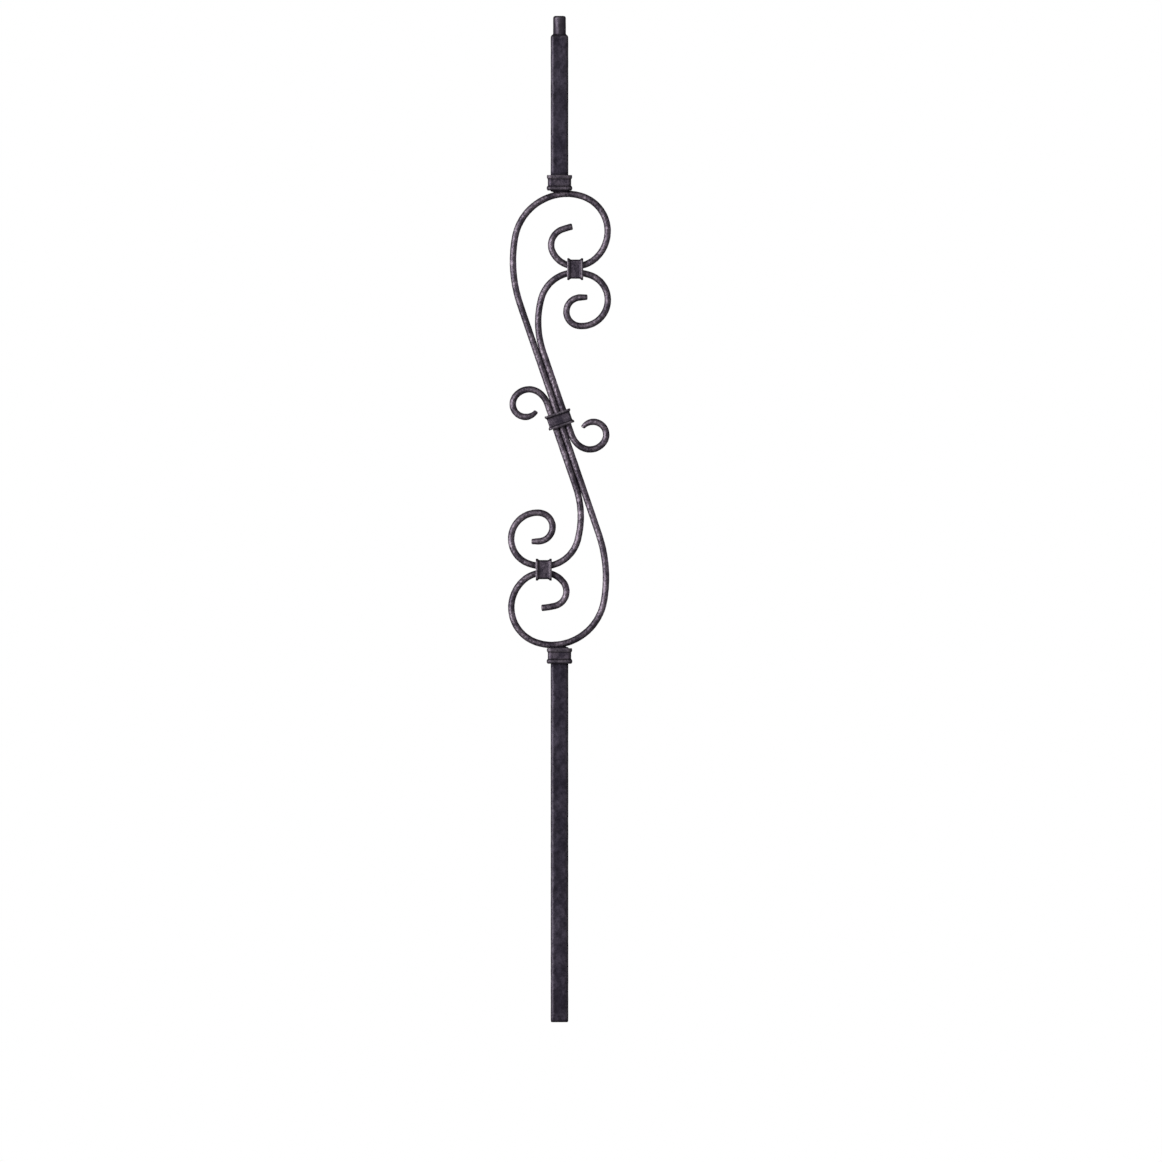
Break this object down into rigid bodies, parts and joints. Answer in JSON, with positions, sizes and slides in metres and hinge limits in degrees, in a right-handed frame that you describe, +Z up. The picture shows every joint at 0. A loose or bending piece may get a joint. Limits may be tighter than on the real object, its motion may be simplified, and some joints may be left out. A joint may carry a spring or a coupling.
{
  "type": "stair baluster",
  "caption": "Forged iron stair baluster: square bars above and below a panel of round bars bent to an S with inner scrolls and small curls, held by collars and bands, with a round top pin",
  "frame": {"origin": "Centre of the cut foot of the lower bar", "axes": "+Z up the bars to the pin, X across the width of the scroll panel, -Y the front that the picture shows"},
  "size_m": [0.1144, 0.0286, 1.1176],
  "materials": {
    "bar_iron": "satin black, mottled",
    "scroll_iron": "satin black, finely hammered",
    "fitting_iron": "satin black, cast mouldings"
  },
  "bodies": {
    "root": {"lower_bar": "bar_iron", "upper_bar": "bar_iron", "lower_collar": "fitting_iron", "upper_collar": "fitting_iron", "main_scroll": "scroll_iron", "upper_inner_scroll": "scroll_iron", "lower_inner_scroll": "scroll_iron", "upper_band": "fitting_iron", "lower_band": "fitting_iron", "middle_band": "fitting_iron"}
  },
  "joints": []
}
